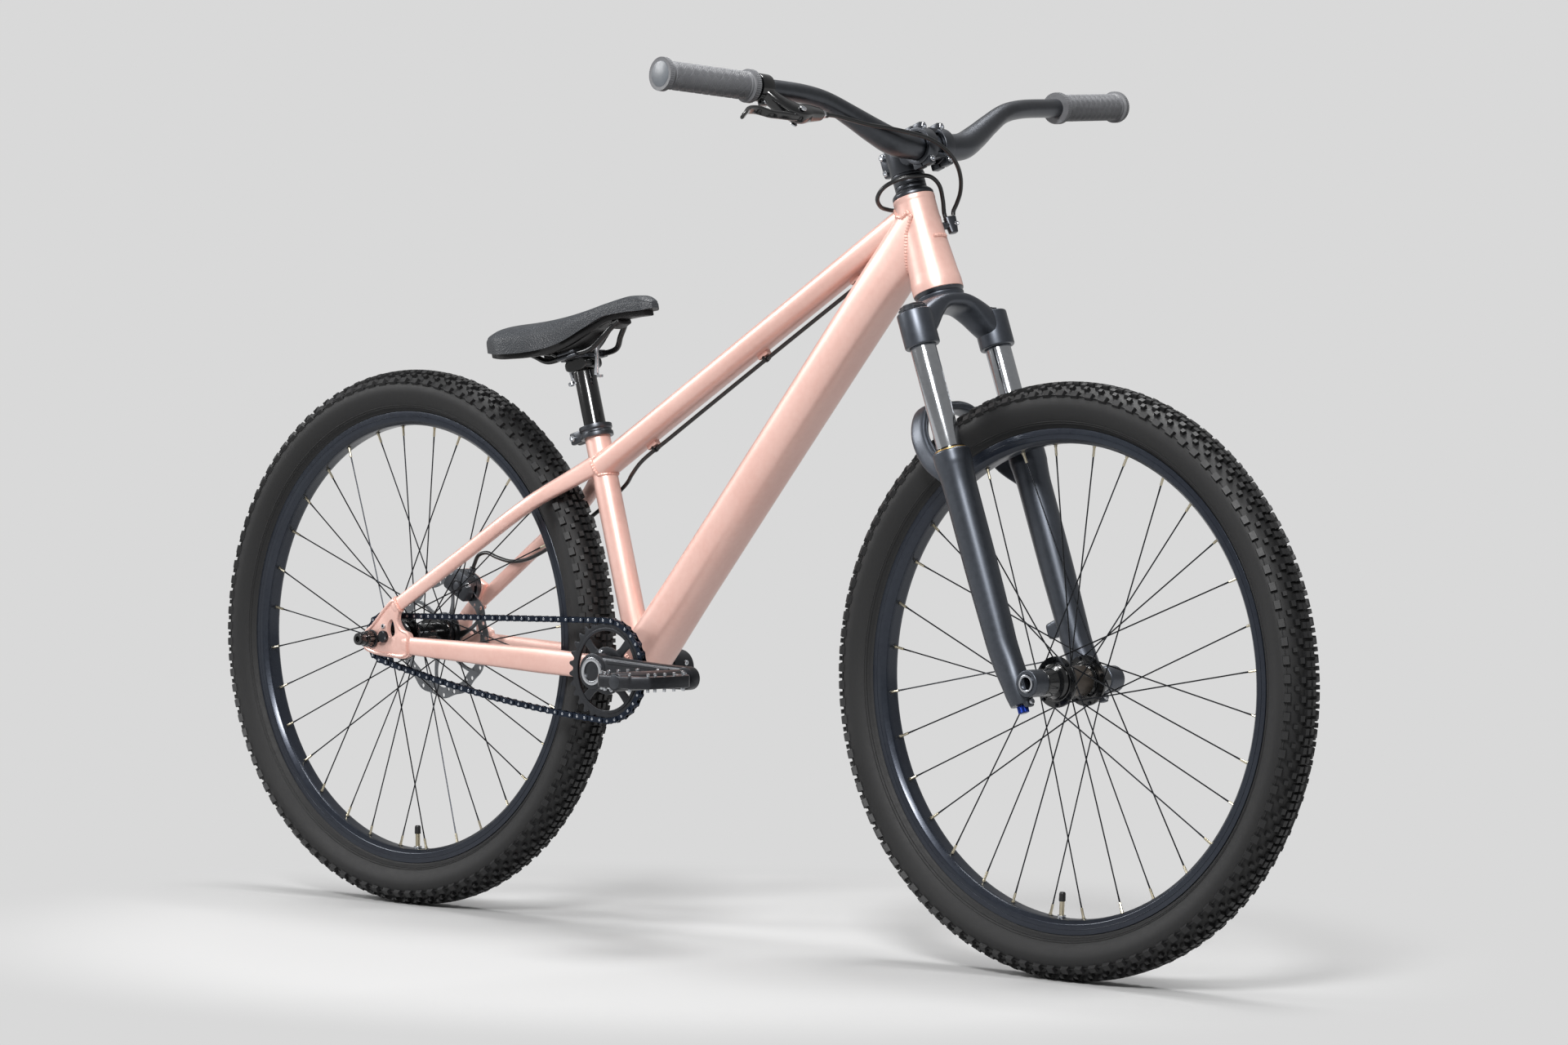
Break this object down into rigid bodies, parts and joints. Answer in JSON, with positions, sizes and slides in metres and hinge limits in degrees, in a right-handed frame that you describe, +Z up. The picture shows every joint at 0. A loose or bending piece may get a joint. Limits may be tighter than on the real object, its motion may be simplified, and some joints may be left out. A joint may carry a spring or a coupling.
{
  "type": "dirt jump bicycle",
  "caption": "Hardtail jump bicycle: steering, sprung fork, wheels, crank, pedals, brake lever, pads and seatpost move.",
  "frame": {"origin": "on the ground, midway between the two axles, in the bicycle's middle plane", "axes": "+X forward along the bicycle, +Y to the rider's left, +Z up; the chain is on the right, at -Y"},
  "size_m": [1.746, 0.8044, 1.0272],
  "materials": {
    "frame_paint": "satin",
    "satin_black": "satin",
    "fork_paint": "satin",
    "rim_paint": "satin",
    "polished_steel": "polished",
    "rotor_steel": "satin",
    "chain_steel": "satin",
    "spoke_steel": "satin",
    "pad_lining": "matte",
    "rail_black": "satin",
    "saddle_plastic": "matte",
    "saddle_vinyl": "matte",
    "tyre_rubber": "matte",
    "grip_rubber": "matte",
    "hose_black": "satin",
    "knob_blue": "satin"
  },
  "bodies": {
    "frame": {"head_tube": "frame_paint", "top_tube": "frame_paint", "down_tube": "frame_paint", "seat_tube": "frame_paint", "chainstay_right": "frame_paint", "chainstay_left": "frame_paint", "seatstay_right": "frame_paint", "seatstay_left": "frame_paint", "seat_collar": "satin_black", "headset_cup_lower": "satin_black", "headset_cup_upper": "satin_black", "hose_coupler": "satin_black", "bearing_cup_right": "satin_black", "bearing_cup_left": "satin_black", "rear_axle": "polished_steel", "brake_caliper": "satin_black", "brake_hose_rear": "hose_black", "chain": "chain_steel"},
    "seat": {"seatpost": "satin_black", "saddle_clamp": "satin_black", "saddle_rails": "rail_black", "saddle_base": "saddle_plastic", "saddle_cover": "saddle_vinyl"},
    "steering": {"fork_crown": "fork_paint", "stanchion_right": "polished_steel", "stanchion_left": "polished_steel", "headset_spacers": "satin_black", "stem": "satin_black", "stem_faceplate": "satin_black", "handlebar": "satin_black", "grip_right": "grip_rubber", "grip_left": "grip_rubber", "brake_lever_body": "satin_black", "brake_hose_front": "hose_black"},
    "lowers": {"fork_lowers": "fork_paint", "front_axle": "polished_steel"},
    "front_wheel": {"front_tyre": "tyre_rubber", "front_rim": "rim_paint", "front_hub": "satin_black", "front_spokes_right": "spoke_steel", "front_spokes_left": "spoke_steel"},
    "rear_wheel": {"rear_tyre": "tyre_rubber", "rear_rim": "rim_paint", "rear_hub": "satin_black", "rear_spokes_right": "spoke_steel", "rear_spokes_left": "spoke_steel", "brake_rotor": "rotor_steel"},
    "cog": {"rear_cog": "chain_steel"},
    "crank": {"crank_arm_right": "satin_black", "crank_arm_left": "satin_black", "chainring": "satin_black", "pedal_axle_right": "polished_steel", "pedal_axle_left": "polished_steel"},
    "pedal_right": {"pedal_right": "satin_black"},
    "pedal_left": {"pedal_left": "satin_black"},
    "brake_lever": {"brake_lever": "polished_steel"},
    "pad_outer": {"brake_pad_outer": "pad_lining"},
    "pad_inner": {"brake_pad_inner": "pad_lining"},
    "compression_knob": {"compression_knob": "satin_black"},
    "rebound_knob": {"rebound_knob": "knob_blue"}
  },
  "joints": [
    {"name": "steering", "type": "hinge", "parent": "frame", "child": "steering", "pos_m": [0.33293, 0, 0.76423], "axis": [-0.3502, 0, 0.9367], "range_deg": [-80, 80], "deforming": ["brake_hose_front"]},
    {"name": "fork_travel", "type": "slide", "parent": "steering", "child": "lowers", "axis": [-0.3502, 0, 0.9367], "range_m": [0, 0.1], "stiffness_N_per_m": 5000, "springref_m": -0.02},
    {"name": "front_wheel_spin", "type": "hinge", "parent": "lowers", "child": "front_wheel", "pos_m": [0.535, 0, 0.338], "axis": [0, 1, 0], "continuous": true},
    {"name": "rear_wheel_spin", "type": "hinge", "parent": "frame", "child": "rear_wheel", "pos_m": [-0.535, 0, 0.338], "axis": [0, 1, 0], "continuous": true},
    {"name": "crank_spin", "type": "hinge", "parent": "frame", "child": "crank", "pos_m": [-0.14326, 0, 0.317], "axis": [0, 1, 0], "continuous": true},
    {"name": "cog_spin", "type": "hinge", "parent": "frame", "child": "cog", "pos_m": [-0.535, 0, 0.338], "axis": [0, 1, 0], "continuous": true},
    {"name": "pedal_right_spin", "type": "hinge", "parent": "crank", "child": "pedal_right", "pos_m": [0.01674, 0, 0.317], "axis": [0, 1, 0], "continuous": true},
    {"name": "pedal_left_spin", "type": "hinge", "parent": "crank", "child": "pedal_left", "pos_m": [-0.30326, 0, 0.317], "axis": [0, 1, 0], "continuous": true},
    {"name": "brake_lever_pull", "type": "hinge", "parent": "steering", "child": "brake_lever", "pos_m": [0.3123, -0.225, 0.9679], "axis": [-0.6358, 0, -0.7718], "range_deg": [0, 15], "stiffness_Nm_per_rad": 1.5, "springref_deg": -5.73},
    {"name": "pad_outer_slide", "type": "slide", "parent": "frame", "child": "pad_outer", "axis": [0, -1, 0], "range_m": [0, 0.0003]},
    {"name": "pad_inner_slide", "type": "slide", "parent": "frame", "child": "pad_inner", "axis": [0, 1, 0], "range_m": [0, 0.0003]},
    {"name": "seatpost_height", "type": "slide", "parent": "frame", "child": "seat", "axis": [-0.2874, 0, 0.9578], "range_m": [-0.03, 0.08]},
    {"name": "compression_knob_turn", "type": "hinge", "parent": "steering", "child": "compression_knob", "pos_m": [0.3472, -0.066, 0.756], "axis": [-0.3502, 0, 0.9367], "range_deg": [0, 90]},
    {"name": "rebound_knob_turn", "type": "hinge", "parent": "lowers", "child": "rebound_knob", "pos_m": [0.5205, -0.066, 0.3082], "axis": [-0.3502, 0, 0.9367], "range_deg": [0, 270]}
  ],
  "couplings": [
    {"joint": "cog_spin", "follows": "crank_spin", "ratio": 2.1429},
    {"joint": "pad_outer_slide", "follows": "brake_lever_pull", "m_per_rad": 0.00114},
    {"joint": "pad_inner_slide", "follows": "brake_lever_pull", "m_per_rad": 0.00114}
  ]
}
